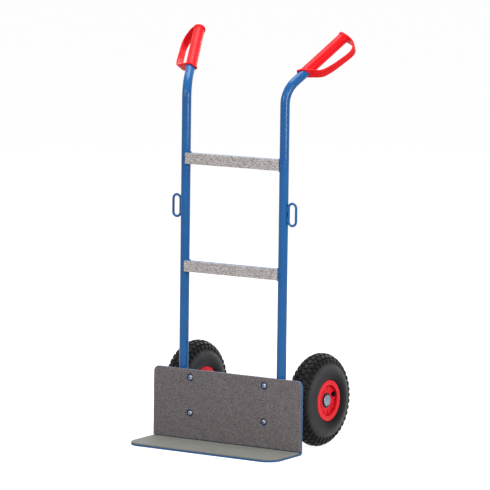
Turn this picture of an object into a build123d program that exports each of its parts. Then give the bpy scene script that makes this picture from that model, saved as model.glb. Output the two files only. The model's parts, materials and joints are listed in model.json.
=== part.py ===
from build123d import *
from math import cos, pi, radians, sin, sqrt, tan
import os

# Appliance hand truck: two bent tubes with two padded rungs, a felt-faced toe plate,
# guarded handle grips and two pneumatic wheels on a fixed axle.
# Millimetres. +X to the right seen from the toe, +Y to the back, +Z up.
# The origin lies on the floor, midway between the toe's front edge and the tyres' rear.

# Frame tubes and handles
tube_diameter = 26.0
tube_wall = 2.5
tube_spacing = 324.0
tube_foot_height = 42.0
frame_lean = 1.3
corner_height = 988.0
bend_radius = 75.0
bend_angle = 53.0
handle_splay = 24.5
plug_flange = 3.0
plug_depth = 16.0
plug_clearance = 0.1

# Rungs with their felt pads
rung_height = 30.0
rung_depth = 20.0
rung_wall = 2.0
rung_front = 12.0
lower_rung_height = 487.0
rung_pitch = 299.0
pad_thickness = 5.5
pad_end_margin = 8.0
pad_edge_round = 1.5

# Strap rings
ring_rod = 7.0
ring_width = 31.0
ring_length = 67.5
ring_height = 652.3
ring_gap = 0.1

# Toe plate and its facings
plate_width = 490.0
plate_height = 203.0
plate_thickness = 4.0
plate_corner = 15.0
toe_reach = 140.0
toe_corner = 42.0
fold_radius = 3.0
carpet_thickness = 5.0
carpet_margin = 1.0
carpet_foot_gap = 1.4
carpet_hole = 22.0
mat_thickness = 4.5
mat_margin = 1.0
mat_back_gap = 0.8

# Bolts through the toe plate and the two cross bars behind it
bolt_diameter = 8.0
bolt_spread = 245.0
bolt_top_drop = 23.0
bolt_pitch = 100.0
bolt_hole_clearance = 0.5
bolt_head_diameter = 14.0
bolt_head_height = 4.4
bolt_head_edge = 1.2
bolt_socket = 5.0
bolt_socket_depth = 2.6
bolt_overhang = 2.5
washer_diameter = 16.0
washer_thickness = 1.6
nut_across_flats = 13.0
nut_height = 6.5
crossbar_thickness = 5.0
crossbar_height = 32.0

# Axle and its brackets
axle_diameter = 20.0
axle_setback = 148.5
axle_chamfer = 1.0
axle_hole_clearance = 0.05
bracket_thickness = 5.0
bracket_eye = 46.0
bracket_low = 58.0
bracket_top_drop = 9.0
bracket_nose = 12.0
bracket_tyre_gap = 8.0
spacer_diameter = 28.0
axle_washer_diameter = 41.0
axle_washer_thickness = 1.5
wheel_end_play = 0.25
cap_diameter = 37.0
cap_height = 5.0
cap_rim = 1.6
cap_wall = 1.2
cap_collar_wall = 1.6

# Wheels
wheel_radius = 129.0
wheel_track = 411.0
tyre_width = 77.0
tyre_section_height = 50.0
tyre_wall = 5.0
tyre_bead = 8.0
tyre_flange_gap = 0.8
tyre_flange_lip = 0.6
tread_depth = 4.0
tread_count = 40
tread_gap = 6.5
tread_skew = 2.5
tread_row_gap = 4.5
tread_split = 24.0
tread_knee = 44.0
tread_end = 57.0
lug_root_depth = 2.0
rim_width = 66.0
rim_flange_diameter = 116.0
rim_flange_thickness = 5.0
rim_seat_diameter = 100.0
rim_wall = 4.0
rim_face_bore = 87.0
rim_web_gap = 34.0
rim_web = 5.0
rim_rib = 3.6
rim_rib_count = 10
rim_rib_set_back = 1.5
rim_rib_root = 1.0
rim_edge_round = 1.2
hub_length = 48.0
hub_diameter = 52.0
bearing_sleeve_wall = 2.9
roller_diameter = 5.0
roller_count = 10
roller_length = 40.0
roller_running_clearance = 0.05
cage_clearance = 0.4
cage_length = 46.0
rim_screw_diameter = 4.0
rim_screw_circle = 72.0
rim_screw_count = 5
rim_screw_head_diameter = 8.5
rim_screw_head_height = 3.0
rim_screw_head_round = 1.0
rim_screw_bite = 12.0
rim_boss_diameter = 11.0
tube_ring_wall = 2.0
tube_ring_clearance = 1.6
tube_ring_side_gap = 7.5
valve_diameter = 7.0
valve_cap_diameter = 9.0
valve_cap_length = 11.0
valve_cap_round = 1.5
valve_circle = 74.0
valve_angle = 20.0
valve_offset = 10.0
valve_reach = 32.0
valve_bend_radius = 6.0
valve_clearance = 0.3
valve_window = 13.0
valve_foot_gap = 0.1

# Handle grips with their hand guards
grip_start = 71.0
grip_length = 166.0
grip_diameter = 31.0
grip_collar_diameter = 35.5
grip_collar_length = 6.0
grip_end_wall = 5.0
grip_edge_round = 1.5
grip_bore_clearance = 0.05
foot_start = 2.0
foot_slope = 29.0
foot_back = 16.8
foot_thickness = 5.5
guard_turn = 32.0
guard_thickness = 7.0
guard_half_width = 20.0
guard_elbow_reach = 45.5
guard_waist = 64.0
guard_waist_reach = 53.5
guard_brow_drop = 26.0
guard_reach = 57.0
guard_head_reach = 42.0
guard_head_tip = 10.75
guard_head_shift = 5.75
guard_head_inset = 2.5
guard_bends = (20.0, 60.0, 45.0, 17.0)
window_foot = 20.0
window_elbow = 35.5
window_bends = (8.0, 50.0, 20.0, 8.0)
# Edges of the guard seen from its open side: place along the grip, then distance across it
guard_upper_edge = (
    (-10.0, -6.0), (-4.0, -15.0), (6.0, -17.5), (27.0, -16.5), (64.0, -9.0), (110.0, -5.0),
    (grip_length - 24.0, -3.0), (grip_length - 10.0, -6.0), (grip_length + 10.0, -15.0))
guard_lower_edge = (
    (-10.0, 6.0), (-4.0, 13.0), (6.0, 15.0), (27.0, 10.0), (64.0, 13.5), (110.0, 16.0),
    (grip_length - 24.0, 17.5), (grip_length + 10.0, 16.0))

# Places that follow from the sizes above
tube_radius = tube_diameter / 2
tube_bore = tube_radius - tube_wall
tube_x = tube_spacing / 2
tube_setback = plate_thickness + crossbar_thickness + tube_radius
heel_y = (toe_reach - axle_setback - wheel_radius) / 2
axle_y = heel_y + axle_setback
axle_radius = axle_diameter / 2
axle_hole = axle_radius + axle_hole_clearance
wheel_x = wheel_track / 2
upper_rung_height = lower_rung_height + rung_pitch
handle_run = grip_start + grip_length - grip_end_wall
guard_brow = grip_length - guard_brow_drop
bolt_x = bolt_spread / 2
upper_bolt_height = plate_height - bolt_top_drop
bolt_heights = (upper_bolt_height - bolt_pitch, upper_bolt_height)
bolt_places = [(side * bolt_x, height) for side in (-1, 1) for height in bolt_heights]
bolt_hole = bolt_diameter / 2 + bolt_hole_clearance
bracket_outer_x = min(tube_x - tube_radius, wheel_x - tyre_width / 2 - bracket_tyre_gap)
hub_half = hub_length / 2
rim_half = rim_width / 2
rim_seat = rim_seat_diameter / 2
rim_flange = rim_flange_diameter / 2
hub_radius = hub_diameter / 2
roller_circle = axle_radius + roller_running_clearance + roller_diameter / 2
sleeve_bore = roller_circle + roller_diameter / 2 + roller_running_clearance
sleeve_radius = sleeve_bore + bearing_sleeve_wall
rib_pitch_angle = 360 / rim_rib_count
section_centre = wheel_radius - tyre_section_height
tyre_lining = tread_depth + tyre_wall
tube_ring_low = rim_seat + tube_ring_clearance
tube_ring_tall = (wheel_radius - tyre_lining - tube_ring_clearance - tube_ring_low) / 2
tube_ring_wide = tyre_width / 2 - tyre_wall - tube_ring_side_gap
tube_ring_centre = tube_ring_low + tube_ring_tall

# The ladder leans back about the toe plate's heel
lean_frame = Pos(0, heel_y, 0) * Rot(X=-frame_lean)
lean = radians(frame_lean)
axle_lean_y = axle_setback * cos(lean) - wheel_radius * sin(lean)
axle_lean_z = axle_setback * sin(lean) + wheel_radius * cos(lean)

# Directions of the right handle: out of its bend, along it, and out to its guard
splay = radians(handle_splay)
bend = radians(bend_angle)
turn = radians(guard_turn)
outward_way = Vector(sin(splay), cos(splay), 0)
handle_way = outward_way * sin(bend) + Vector(0, 0, cos(bend))
level_way = Vector(cos(splay), -sin(splay), 0)
guard_way = level_way * cos(turn) + handle_way.cross(level_way) * sin(turn)

pieces = {}


def along_x(radius, start, end):
    return Plane.YZ * Pos(0, 0, start) * extrude(Circle(radius), end - start)


def ring_along_x(outer, bore, start, end):
    return Plane.YZ * Pos(0, 0, start) * extrude(Circle(outer) - Circle(bore), end - start)


def along_y(radius, x, z, start, end):
    return Pos(x, start, z) * Rot(X=-90) * extrude(Circle(radius), end - start)


def mirrored(shape):
    return mirror(shape, about=Plane.YZ)


def upright():
    bend_normal = outward_way.cross(Vector(0, 0, 1))
    bend_plane = Plane((tube_x, tube_setback, 0), x_dir=outward_way, z_dir=bend_normal)
    foot = (0, tube_foot_height)
    corner = (0, corner_height)
    end = (handle_run * sin(bend), corner_height + handle_run * cos(bend))
    path = bend_plane * FilletPolyline(foot, corner, end, radius=bend_radius)
    section = Plane(path @ 0, z_dir=path % 0) * (Circle(tube_radius) - Circle(tube_bore))
    return sweep(section, path=path)


def foot_plug():
    stopper = extrude(Circle(tube_radius), -plug_flange)
    stopper += extrude(Circle(tube_bore - plug_clearance), plug_depth)
    stopper = chamfer(stopper.faces().sort_by(Axis.Z)[-1].edges(), tube_wall / 2)
    return Pos(tube_x, tube_setback, tube_foot_height) * stopper


def rung(height):
    centre_y = tube_setback - rung_front + rung_depth / 2
    bar = Box(tube_spacing, rung_depth, rung_height)
    bar -= Box(tube_spacing, rung_depth - 2 * rung_wall, rung_height - 2 * rung_wall)
    bar = Pos(0, centre_y, height) * bar
    for side in (-1, 1):
        bar -= Pos(side * tube_x, tube_setback, height) * Cylinder(tube_radius, 2 * rung_height)
    return bar


def rung_pad(height):
    length = tube_spacing - 2 * pad_end_margin
    pad = Box(length, pad_thickness, rung_height)
    pad = fillet(pad.faces().sort_by(Axis.Y)[0].edges(), pad_edge_round)
    return Pos(0, tube_setback - rung_front - pad_thickness / 2, height) * pad


def strap_ring():
    run = ring_length - ring_width
    loop = Plane.XZ * Rot(Z=90) * SlotCenterToCenter(run, ring_width - ring_rod)
    path = loop.face().outer_wire()
    section = Plane(path @ 0, z_dir=path % 0) * Circle(ring_rod / 2)
    ring = sweep(section, path=path)
    ring_x = tube_x + tube_radius + ring_gap + ring_width / 2
    return Pos(ring_x, tube_setback, ring_height) * ring


def crossbar(height):
    length = tube_spacing + tube_diameter
    bar = Pos(0, plate_thickness + crossbar_thickness / 2, height) * Box(
        length, crossbar_thickness, crossbar_height)
    for side in (-1, 1):
        bar -= along_y(bolt_hole, side * bolt_x, height, 0, plate_thickness + 2 * crossbar_thickness)
    return bar


def axle_bracket():
    # A side plate: upright strip behind the cross bars, drawn in to an eye round the axle
    front = plate_thickness + crossbar_thickness
    top = plate_height - bracket_top_drop
    strip = Rectangle(bracket_nose, top - bracket_low)
    strip = Pos(front + bracket_nose / 2, (bracket_low + top) / 2) * strip
    eye = Pos(axle_lean_y, axle_lean_z) * Circle(bracket_eye / 2)
    outline = make_hull((strip + eye).edges())
    outline -= Pos(axle_lean_y, axle_lean_z) * Circle(axle_hole)
    inner_x = bracket_outer_x - bracket_thickness
    return Plane.YZ * Pos(0, 0, inner_x) * extrude(outline, bracket_thickness)


def toe_plate():
    # Folded sheet: a level toe and a face that leans back with the ladder
    rise = tan(lean)
    back = plate_thickness / cos(lean)
    top_y = plate_height * sin(lean)
    top_z = plate_height * cos(lean)
    profile = Polyline(
        (-toe_reach, 0),
        (back, 0),
        (top_y + plate_thickness * cos(lean), top_z - plate_thickness * sin(lean)),
        (top_y, top_z),
        (plate_thickness * rise, plate_thickness),
        (-toe_reach, plate_thickness),
        close=True,
    )
    sheet = make_face(profile)
    heel = sheet.vertices().sort_by_distance((back, 0))[0]
    sheet = fillet(heel, fold_radius + plate_thickness)
    inner = sheet.vertices().sort_by_distance((plate_thickness * rise, plate_thickness))[0]
    sheet = fillet(inner, fold_radius)
    plate = Plane.YZ * extrude(sheet, plate_width / 2, both=True)
    corners = plate.edges().filter_by(Axis.Z).group_by(Axis.Y)[0]
    plate = fillet(corners, toe_corner)
    short_edges = [edge for edge in plate.edges().filter_by(GeomType.LINE)
                   if edge.length < 2 * plate_thickness and edge.center().Z > plate_height / 2]
    plate = fillet(short_edges, plate_corner)
    plate = Pos(0, heel_y, 0) * plate
    for x, height in bolt_places:
        plate -= lean_frame * along_y(bolt_hole, x, height, -plate_thickness, 2 * plate_thickness)
    return plate


def plate_carpet():
    foot = plate_thickness + mat_thickness + carpet_foot_gap
    top = plate_height - carpet_margin
    width = plate_width - 2 * carpet_margin
    outline = Pos(0, (foot + top) / 2) * Rectangle(width, top - foot)
    outline = fillet(outline.vertices().group_by(Axis.Y)[-1], plate_corner)
    for x, height in bolt_places:
        outline -= Pos(x, height) * Circle(carpet_hole / 2)
    return Plane.XZ * extrude(outline, carpet_thickness)


def toe_mat():
    back_y = -carpet_thickness - mat_back_gap
    front_y = -toe_reach + mat_margin
    width = plate_width - 2 * mat_margin
    outline = Pos(0, (back_y + front_y) / 2) * Rectangle(width, back_y - front_y)
    outline = fillet(outline.vertices().group_by(Axis.Y)[0], toe_corner - mat_margin)
    return Pos(0, heel_y, plate_thickness) * extrude(outline, mat_thickness)


def bolt(x, height):
    shank_end = plate_thickness + crossbar_thickness + washer_thickness + nut_height + bolt_overhang
    shank = along_y(bolt_diameter / 2, x, height, 0, shank_end)
    head = extrude(Circle(bolt_head_diameter / 2), bolt_head_height)
    crown = head.faces().sort_by(Axis.Z)[-1].edges()
    head = fillet(crown, bolt_head_height - bolt_head_edge)
    socket = extrude(RegularPolygon(bolt_socket / 2, 6, major_radius=False), bolt_socket_depth)
    head -= Pos(0, 0, bolt_head_height - bolt_socket_depth) * socket
    return shank + Pos(x, 0, height) * Rot(X=90) * head


def washer(x, height):
    start = plate_thickness + crossbar_thickness
    disc = along_y(washer_diameter / 2, x, height, start, start + washer_thickness)
    return disc - along_y(bolt_hole, x, height, 0, 2 * start)


def nut(x, height):
    start = plate_thickness + crossbar_thickness + washer_thickness
    block = extrude(RegularPolygon(nut_across_flats / 2, 6, major_radius=False), nut_height)
    block -= extrude(Circle(bolt_diameter / 2), nut_height)
    return Pos(x, start, height) * Rot(X=-90) * block


def on_foot(reach):
    # A place on the grip's slanted lower end, that far out from the tube's middle
    return (foot_start + reach * tan(radians(foot_slope)), reach)


def hand_guard():
    # A loop in one plane, X along the grip and Y away from it, with a window for the fingers.
    # Its foot is a flange under the grip; its edges draw in along the waist.
    back = on_foot(-foot_back)
    flange_back = (back[0] + foot_thickness, back[1])
    flange_middle = (foot_start + foot_thickness, 0)
    route = FilletPolyline(
        back, on_foot(guard_elbow_reach), (guard_waist, guard_waist_reach), (guard_brow, guard_reach),
        (grip_length, guard_head_reach), (grip_length, 0), radius=guard_bends)
    loop = make_face(route + Polyline((grip_length, 0), flange_middle, flange_back, back))
    head = grip_length - guard_thickness
    route = FilletPolyline(
        (window_foot, 0), (window_elbow, guard_elbow_reach - guard_thickness),
        (guard_waist, guard_waist_reach - guard_thickness), (guard_brow, guard_reach - guard_thickness),
        (head, guard_head_reach - guard_thickness), (head, 0), radius=window_bends)
    loop -= make_face(route + Line((head, 0), (window_foot, 0)))
    upper = Spline(*guard_upper_edge)
    lower = Spline(*guard_lower_edge)
    outline = upper + Line(upper @ 1, lower @ 1) + lower + Line(upper @ 0, lower @ 0)
    plan = make_face(Plane.XZ * outline)
    return extrude(loop, guard_half_width, both=True) & extrude(plan, 2 * guard_reach, both=True)


def guard_head():
    # The grip's end plate, drawn out from the collar to the guard
    collar = Circle(grip_collar_diameter / 2 - guard_head_inset)
    tip = Pos(guard_head_reach - guard_head_tip, guard_head_shift) * Circle(guard_head_tip)
    outline = make_hull(collar.edges() + tip.edges())
    return Plane.YZ * Pos(0, 0, grip_length - guard_thickness) * extrude(outline, guard_thickness)


def grip():
    start = Vector(tube_x, tube_setback, corner_height) + handle_way * grip_start
    place = Plane(start, x_dir=handle_way, z_dir=handle_way.cross(guard_way))
    radius = grip_diameter / 2
    collar = grip_collar_diameter / 2
    step = collar - radius
    low = on_foot(-foot_back)[0]
    barrel = Polyline(
        (low, 0), (low, radius), (grip_length - grip_collar_length - step, radius),
        (grip_length - grip_collar_length, collar), (grip_length, collar), (grip_length, 0), close=True)
    body = revolve(make_face(barrel), Axis.X)
    rounded = body.edges().filter_by(GeomType.CIRCLE).group_by(Axis.X)[-1]
    body = fillet(rounded, grip_edge_round)
    body += hand_guard() + guard_head()
    inner = on_foot(-guard_reach)
    outer = on_foot(guard_reach)
    below = make_face(Polyline(
        inner, outer, (outer[0] - 2 * guard_reach, outer[1]), (inner[0] - guard_reach, inner[1]), close=True))
    body -= extrude(below, guard_reach, both=True)
    body -= along_x(tube_radius + grip_bore_clearance, -guard_reach, grip_length - grip_end_wall)
    return place.location * body


def axle():
    reach = wheel_x + hub_half + axle_washer_thickness + wheel_end_play + cap_height / 2
    bar = along_x(axle_radius, -reach, reach)
    bar = chamfer(bar.edges().filter_by(GeomType.CIRCLE), axle_chamfer)
    return Pos(0, axle_y, wheel_radius) * bar


def axle_spacer():
    end = wheel_x - hub_half - wheel_end_play - axle_washer_thickness
    return Pos(0, axle_y, wheel_radius) * ring_along_x(spacer_diameter / 2, axle_hole, bracket_outer_x, end)


def axle_washers():
    inner = wheel_x - hub_half - wheel_end_play
    outer = wheel_x + hub_half + wheel_end_play
    discs = []
    for side in (-1, 1):
        for start in (inner - axle_washer_thickness, outer):
            ends = sorted((side * start, side * (start + axle_washer_thickness)))
            disc = ring_along_x(axle_washer_diameter / 2, axle_hole, ends[0], ends[1])
            discs.append(Pos(0, axle_y, wheel_radius) * disc)
    return discs


def hub_cap():
    # A pressed push-on cap: domed shell with a collar that grips the axle's end
    start = wheel_x + hub_half + wheel_end_play + axle_washer_thickness
    edge = cap_diameter / 2
    rise = cap_height - cap_rim
    dome = (edge ** 2 + rise ** 2) / (2 * rise)
    centre = cap_height - dome

    def on_dome(radius, height):
        return (centre + sqrt(radius ** 2 - height ** 2), height)

    inner = dome - cap_wall
    inner_edge = edge - cap_wall
    outline = Polyline((0, inner_edge), (0, edge), (cap_rim, edge))
    outline += ThreePointArc((cap_rim, edge), on_dome(dome, edge / 2), (cap_height, 0))
    outline += Line((cap_height, 0), (cap_height - cap_wall, 0))
    outline += ThreePointArc(
        (cap_height - cap_wall, 0), on_dome(inner, inner_edge / 2), on_dome(inner, inner_edge))
    outline += Line(on_dome(inner, inner_edge), (0, inner_edge))
    shell = revolve(make_face(outline), Axis.X)
    collar = axle_hole + cap_collar_wall
    shell += ring_along_x(collar, axle_hole, 0, on_dome(inner, collar)[0] + cap_wall / 2)
    return Pos(start, axle_y, wheel_radius) * shell


def on_section(angle, inset):
    # Axial and radial place on the tyre's oval section, or that far inside it
    wide = (tyre_width / 2 - inset) * sin(radians(angle))
    tall = (tyre_section_height - inset) * cos(radians(angle))
    return (wide, section_centre + tall)


def tyre_carcass():
    # Half section in the plane of axle and radius: bead in the rim, bulged side, crown under the tread
    half_width = tyre_width / 2
    heel = rim_half - rim_flange_thickness
    toe = heel - tyre_bead
    flange_clear = rim_flange + tyre_flange_gap
    outside = [on_section(angle, tread_depth) for angle in (tread_end, tread_knee, tread_split, 0)]
    inside = [on_section(angle, tyre_lining) for angle in (0, tread_split, tread_knee)]
    lip = rim_half - tyre_flange_lip
    half = Polyline((toe, rim_seat), (heel, rim_seat), (heel, flange_clear), (lip, flange_clear))
    half += ThreePointArc((lip, flange_clear), (half_width, section_centre), outside[0])
    half += Polyline(*outside, *inside)
    half += ThreePointArc(inside[-1], (half_width - tyre_wall, section_centre), (toe, flange_clear))
    half += Line((toe, flange_clear), (toe, rim_seat))
    face = make_face(half)
    return revolve(face + mirror(face, about=Plane.YZ), Axis.X)


def tread_lug(angles, skew):
    # One block: a short turn of the row's section, cut by two slanted sides
    crest = [on_section(angle, 0) for angle in angles]
    root = [on_section(angle, tread_depth + lug_root_depth) for angle in reversed(angles)]
    profile = make_face(Polyline(*crest, *root, close=True))
    step = 360 / tread_count
    band = Rot(X=90 - step) * revolve(profile, Axis.X, revolution_arc=2 * step)
    start = min(place[0] for place in root)
    end = max(place[0] for place in crest)
    half = (2 * pi * wheel_radius / tread_count - tread_gap) / 2
    sides = Polyline(
        (start, -half - skew), (end, -half + skew), (end, half + skew), (start, half - skew), close=True)
    return band & extrude(make_face(sides), 2 * wheel_radius)


def tyre():
    middle_row = (tread_row_gap / 2, tread_split - tread_row_gap / 2)
    shoulder_row = (tread_split + tread_row_gap / 2, tread_knee, tread_end + tread_row_gap)
    rows = ((middle_row, tread_skew, 0.5), (shoulder_row, -tread_skew, 0))
    step = 360 / tread_count
    lugs = []
    for side in (1, -1):
        for angles, skew, phase in rows:
            lug = tread_lug(angles, skew)
            if side < 0:
                lug = mirrored(lug)
                phase = 0.5 - phase
            lugs += [Rot(X=(phase + number) * step) * lug for number in range(tread_count)]
    return tyre_carcass().fuse(*lugs)


def inner_tube():
    section = Ellipse(tube_ring_wide, tube_ring_tall)
    section -= Ellipse(tube_ring_wide - tube_ring_wall, tube_ring_tall - tube_ring_wall)
    return revolve(Pos(0, tube_ring_centre) * section, Axis.X)


def rim_half_section():
    barrel = rim_seat - rim_wall
    web_start = rim_web_gap / 2
    web_end = web_start + rim_web
    face = rim_half - rim_flange_thickness
    bore = rim_face_bore / 2
    return Polyline(
        (0, sleeve_radius), (hub_half, sleeve_radius), (hub_half, hub_radius), (web_end, hub_radius),
        (web_end, barrel), (face, barrel), (face, bore), (rim_half, bore), (rim_half, rim_flange),
        (face, rim_flange), (face, rim_seat), (0, rim_seat), (0, barrel), (web_start, barrel),
        (web_start, hub_radius), (0, hub_radius), close=True)


def rim_rib_blade():
    web_end = rim_web_gap / 2 + rim_web
    barrel = rim_seat - rim_wall
    low = hub_radius - rim_rib_root
    high = barrel + rim_rib_root
    blade = Polyline(
        (web_end - rim_rib_root, low), (hub_half - rim_rib_set_back, low),
        (rim_half - rim_flange_thickness - rim_rib_set_back, high), (web_end - rim_rib_root, high),
        close=True)
    return extrude(make_face(blade), rim_rib / 2, both=True)


def screw_angles():
    return [valve_angle + (number * 2 + 1) * rib_pitch_angle for number in range(rim_screw_count)]


def on_screw_circle(shape, angle):
    return Rot(X=angle) * Pos(0, rim_screw_circle / 2, 0) * shape


def rim_blank():
    half = revolve(make_face(rim_half_section()), Axis.X)
    edges = half.edges().filter_by(GeomType.CIRCLE).group_by(Axis.X)[-1]
    half = fillet(edges, rim_edge_round)
    for number in range(rim_rib_count):
        angle = valve_angle + (number + 0.5) * rib_pitch_angle
        half += Rot(X=angle) * rim_rib_blade()
    for angle in screw_angles():
        half += on_screw_circle(along_x(rim_boss_diameter / 2, 0, rim_web_gap / 2), angle)
    return half


def rim_outer(blank):
    half = blank
    for angle in screw_angles():
        half -= on_screw_circle(along_x(rim_screw_diameter / 2, 0, rim_screw_bite), angle)
    stem_hole = Plane.XZ * extrude(Circle(valve_diameter / 2 + valve_clearance), -rim_flange)
    stem_hole = Pos(valve_offset, 0, 0) * stem_hole - along_x(hub_radius + rim_wall, 0, rim_half)
    window = Pos(0, valve_circle / 2, 0) * along_x(valve_window / 2, 0, rim_half)
    return half - Rot(X=valve_angle) * stem_hole - Rot(X=valve_angle) * window


def rim_inner(blank):
    half = mirrored(blank)
    for angle in screw_angles():
        half -= on_screw_circle(along_x(rim_screw_diameter / 2, -rim_half, 0), angle)
    return half


def rim_screws():
    web_face = -(rim_web_gap / 2 + rim_web)
    screws = []
    for angle in screw_angles():
        screw = along_x(rim_screw_diameter / 2, web_face, rim_screw_bite)
        head = along_x(rim_screw_head_diameter / 2, web_face - rim_screw_head_height, web_face)
        head = fillet(head.edges().group_by(Axis.X)[0], rim_screw_head_round)
        screws.append(on_screw_circle(screw + head, angle))
    return screws


def valve():
    # The stem stands on the inner tube's underside
    near_side = (valve_offset - valve_diameter / 2) / tube_ring_wide
    foot = tube_ring_centre - tube_ring_tall * sqrt(1 - near_side ** 2) - valve_foot_gap
    height = valve_circle / 2
    route = FilletPolyline(
        (valve_offset, foot), (valve_offset, height), (valve_reach, height), radius=valve_bend_radius)
    stem = sweep(Plane(route @ 0, z_dir=route % 0) * Circle(valve_diameter / 2), path=route)
    cap = along_x(valve_cap_diameter / 2, valve_reach - valve_cap_length, valve_reach)
    cap = Pos(0, height, 0) * cap
    cap = fillet(cap.edges().group_by(Axis.X)[-1], valve_cap_round)
    return Rot(X=valve_angle) * (stem + cap)


def rollers():
    roller = Pos(0, roller_circle, 0) * along_x(roller_diameter / 2, -roller_length / 2, roller_length / 2)
    return [Rot(X=number * 360 / roller_count) * roller for number in range(roller_count)]


def roller_cage():
    bore = axle_radius + cage_clearance
    outer = sleeve_bore - cage_clearance
    cage = ring_along_x(outer, bore, -cage_length / 2, cage_length / 2)
    reach = roller_length / 2 + cage_clearance
    for number in range(roller_count):
        pocket = along_x(roller_diameter / 2 + cage_clearance, -reach, reach)
        cage -= Rot(X=number * 360 / roller_count) * Pos(0, roller_circle, 0) * pocket
    return cage


def wheel_pieces():
    # One wheel about the origin, its valve side facing +X
    blank = rim_blank()
    return {
        "tyre": tyre(),
        "inner_tube": inner_tube(),
        "valve": valve(),
        "rim_outer": rim_outer(blank),
        "rim_inner": rim_inner(blank),
        "rim_screws": rim_screws(),
        "hub_sleeve": ring_along_x(sleeve_radius, sleeve_bore, -hub_half, hub_half),
        "roller_cage": roller_cage(),
        "rollers": rollers(),
    }


def add_pair(name, shape):
    pieces["right_" + name] = shape
    pieces["left_" + name] = mirrored(shape)


add_pair("upright", lean_frame * upright())
add_pair("foot_plug", lean_frame * foot_plug())
add_pair("strap_ring", lean_frame * strap_ring())
add_pair("axle_bracket", lean_frame * axle_bracket())
add_pair("grip", lean_frame * grip())
add_pair("axle_spacer", axle_spacer())
add_pair("hub_cap", hub_cap())
for level, rung_level in (("lower", lower_rung_height), ("upper", upper_rung_height)):
    pieces[level + "_rung"] = lean_frame * rung(rung_level)
    pieces[level + "_rung_pad"] = lean_frame * rung_pad(rung_level)
for level, bar_level in zip(("lower", "upper"), bolt_heights):
    pieces[level + "_crossbar"] = lean_frame * crossbar(bar_level)
pieces["toe_plate"] = toe_plate()
pieces["plate_carpet"] = lean_frame * plate_carpet()
pieces["toe_mat"] = toe_mat()
pieces["plate_bolts"] = [lean_frame * bolt(x, height) for x, height in bolt_places]
pieces["plate_washers"] = [lean_frame * washer(x, height) for x, height in bolt_places]
pieces["plate_nuts"] = [lean_frame * nut(x, height) for x, height in bolt_places]
pieces["axle"] = axle()
pieces["axle_washers"] = axle_washers()

wheel = wheel_pieces()
wheel_places = {
    "right": Pos(wheel_x, axle_y, wheel_radius),
    "left": Pos(-wheel_x, axle_y, wheel_radius) * Rot(Z=180),
}
for side, place in wheel_places.items():
    for name, shape in wheel.items():
        if isinstance(shape, list):
            pieces[side + "_" + name] = [place * one for one in shape]
        else:
            pieces[side + "_" + name] = place * shape

os.makedirs("parts", exist_ok=True)
for name, shape in pieces.items():
    solids = []
    for one in shape if isinstance(shape, list) else [shape]:
        solids.extend(one.solids())
    whole = solids[0] if len(solids) == 1 else Compound(children=solids)
    export_step(whole, "parts/" + name + ".step")
    print(name, len(solids), round(sum(solid.volume for solid in solids)))
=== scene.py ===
# %% [markdown]
# # Appliance hand truck
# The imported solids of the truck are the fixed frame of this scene. Every step takes one piece of the real
# truck, looks at how it is made, and gives it the shape and the finish that the solids alone lack. Sizes
# are in millimetres, as a workshop drawing has them, and become metres when a mesh is made.

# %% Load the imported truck
import json
from math import atan2, cos, pi, radians, sin, sqrt, tan

import bmesh
import bpy
import numpy as np
from mathutils import Matrix, Vector, noise

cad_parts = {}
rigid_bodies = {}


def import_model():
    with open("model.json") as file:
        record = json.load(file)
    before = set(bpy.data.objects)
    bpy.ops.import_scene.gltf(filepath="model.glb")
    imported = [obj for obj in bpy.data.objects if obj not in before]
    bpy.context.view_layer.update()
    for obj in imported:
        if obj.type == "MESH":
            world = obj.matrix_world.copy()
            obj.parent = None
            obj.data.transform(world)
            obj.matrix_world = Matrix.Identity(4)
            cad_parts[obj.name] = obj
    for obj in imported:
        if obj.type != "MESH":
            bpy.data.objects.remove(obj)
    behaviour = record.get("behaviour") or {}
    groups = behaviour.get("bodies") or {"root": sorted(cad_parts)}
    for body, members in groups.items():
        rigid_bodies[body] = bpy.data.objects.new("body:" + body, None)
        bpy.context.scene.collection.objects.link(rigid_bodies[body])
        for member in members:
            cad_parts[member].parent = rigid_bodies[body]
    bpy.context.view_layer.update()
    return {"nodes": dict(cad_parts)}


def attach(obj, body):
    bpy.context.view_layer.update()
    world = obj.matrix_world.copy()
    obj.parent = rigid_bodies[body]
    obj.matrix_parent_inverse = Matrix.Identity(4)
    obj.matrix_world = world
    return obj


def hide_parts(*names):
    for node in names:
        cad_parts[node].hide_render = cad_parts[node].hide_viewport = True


for leftover in list(bpy.data.objects):
    bpy.data.objects.remove(leftover)
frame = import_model()
scene = bpy.context.scene
scene.view_settings.view_transform = "Standard"
print("nodes in the frame:", len(frame["nodes"]))

# %% [markdown]
# ## Camera
# The photographer stood well back with a long lens, to the truck's right and a little above its handles. A
# long lens keeps the two tubes almost parallel, so a wide one moved closer would never match. The place and
# the angles come from fitting the plate, tubes and wheels to the picture.

# %% Camera
camera_place = (5.9574, -8.8348, 2.0172)
camera_pitch = 7.834
camera_yaw = 33.928
sensor_width = 36.0
focal_pixels = 3914.0
picture_width = 490.0
sight_end = 100.0

camera_data = bpy.data.cameras.new("photo_camera")
camera_data.sensor_width = sensor_width
camera_data.lens = focal_pixels / picture_width * sensor_width
camera_data.clip_end = sight_end
camera = bpy.data.objects.new("photo_camera", camera_data)
camera.location = camera_place
camera.rotation_euler = (radians(90 - camera_pitch), 0, radians(camera_yaw))
scene.collection.objects.link(camera)
scene.camera = camera
print("lens in millimetres:", round(camera_data.lens, 1))

# %% [markdown]
# ## Light and floor
# A studio picture of a product has large soft lamps and a white sweep. Four large area lamps stand round
# the truck, so it looks right from every side, and a small one draws the sharp marks on the bends of the
# tubes. The world fills the shadows. The floor reads as white to the camera, but it still catches the faint
# shadow under the toe plate and the tyres.

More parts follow.
